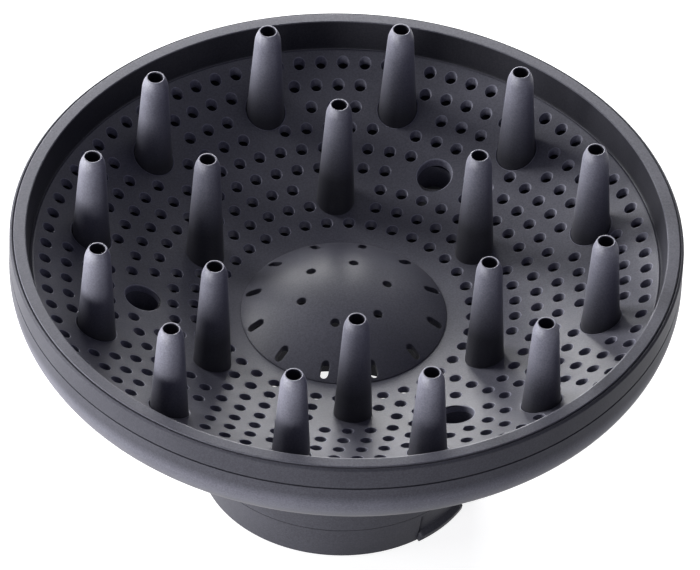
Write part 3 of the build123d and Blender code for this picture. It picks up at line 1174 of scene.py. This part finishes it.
class DIFFUSER_OT_stage(Operator):
    """Set the floor, the lamps, the world and the camera"""

    bl_idname = "diffuser.stage"
    bl_label = "Stage"

    def lamp(self, name, angles, size, power):
        """A soft box, wide and high as size says, that looks at the object."""
        light = bpy.data.lights.new(name, "AREA")
        light.shape = "RECTANGLE"
        light.size, light.size_y = size
        light.energy = power
        lamp = bpy.data.objects.new(name, light)
        out = direction(*(math.radians(a) for a in angles))
        lamp.location = LAMP_AIM + out * LAMP_DISTANCE
        lamp.rotation_euler = looking_back(out).to_euler()
        bpy.context.collection.objects.link(lamp)

    def floor(self, stage):
        """A round pale floor under the object."""
        bm = bmesh.new()
        bmesh.ops.create_circle(
            bm, cap_ends=True, segments=FLOOR_SEGMENTS, radius=stage.floor_radius
        )
        mesh = bpy.data.meshes.new("Floor")
        bm.to_mesh(mesh)
        bm.free()
        mesh.materials.append(studio_floor("Studio floor", stage))
        floor = bpy.data.objects.new("Floor", mesh)
        floor.location.z = cad_box[0][2] - FLOOR_GAP
        bpy.context.collection.objects.link(floor)

    def world(self, stage):
        """White to the camera, soft bluish light on the object."""
        world = bpy.data.worlds.new("Studio")
        world.use_nodes = True
        tree = Tree(world.node_tree)
        tint = rgba(stage.ambient_tint)
        soft = tree.add("ShaderNodeBackground", {}, {"Color": tint, "Strength": stage.ambient})[0]
        white = tree.add("ShaderNodeBackground", {}, {"Color": WHITE, "Strength": 1.0})[0]
        surface = tree.between(tree.seen(), soft, white)
        tree.add("ShaderNodeOutputWorld", {}, {"Surface": surface})
        bpy.context.scene.world = world

    def camera(self, stage):
        """The camera at the photograph's viewing angle."""
        data = bpy.data.cameras.new("Camera")
        data.sensor_fit = "HORIZONTAL"
        data.sensor_width = SENSOR_WIDTH
        data.lens = stage.lens
        camera = bpy.data.objects.new("Camera", data)
        out = direction(stage.azimuth, stage.elevation)
        place = Matrix.Translation(Vector(stage.aim) + out * stage.distance)
        turn = looking_back(out).to_matrix().to_4x4()
        camera.matrix_world = place @ turn @ Matrix.Rotation(stage.roll, 4, "Z")
        bpy.context.collection.objects.link(camera)
        bpy.context.scene.camera = camera

    def execute(self, context):
        stage = context.scene.diffuser_stage
        self.floor(stage)
        self.world(stage)
        for lamp in LAMPS:
            self.lamp(*lamp)
        self.camera(stage)
        context.scene.view_settings.view_transform = "Standard"
        return {"FINISHED"}


class DIFFUSER_PT_pieces(Panel):
    """Lists the pieces of the diffuser and the stage"""

    bl_label = "Diffuser"
    bl_idname = "DIFFUSER_PT_pieces"
    bl_space_type = "VIEW_3D"
    bl_region_type = "UI"
    bl_category = "Diffuser"

    def draw(self, context):
        for operator in OPERATORS:
            self.layout.operator(operator.bl_idname)


OPERATORS = (
    DIFFUSER_OT_plate,
    DIFFUSER_OT_fingers,
    DIFFUSER_OT_dome,
    DIFFUSER_OT_rim,
    DIFFUSER_OT_shell,
    DIFFUSER_OT_collar,
    DIFFUSER_OT_latches,
    DIFFUSER_OT_screws,
    DIFFUSER_OT_stage,
)
GROUPS = {
    "diffuser_dish": DiffuserDish,
    "diffuser_fingers": DiffuserFingers,
    "diffuser_dome": DiffuserDome,
    "diffuser_shell": DiffuserShell,
    "diffuser_latch": DiffuserLatch,
    "diffuser_screw": DiffuserScrew,
    "diffuser_finish": DiffuserFinish,
    "diffuser_stage": DiffuserStage,
}


def register():
    for name, group in GROUPS.items():
        bpy.utils.register_class(group)
        setattr(bpy.types.Scene, name, PointerProperty(type=group))
    for cls in (*OPERATORS, DIFFUSER_PT_pieces):
        bpy.utils.register_class(cls)


def unregister():
    for cls in reversed((*OPERATORS, DIFFUSER_PT_pieces)):
        bpy.utils.unregister_class(cls)
    for name, group in GROUPS.items():
        delattr(bpy.types.Scene, name)
        bpy.utils.unregister_class(group)


def main():
    register()
    bpy.ops.diffuser.plate()
    bpy.ops.diffuser.fingers()
    bpy.ops.diffuser.dome()
    bpy.ops.diffuser.rim()
    bpy.ops.diffuser.shell()
    bpy.ops.diffuser.collar()
    bpy.ops.diffuser.latches()
    bpy.ops.diffuser.screws()
    bpy.ops.diffuser.stage()


if __name__ == "__main__":
    main()
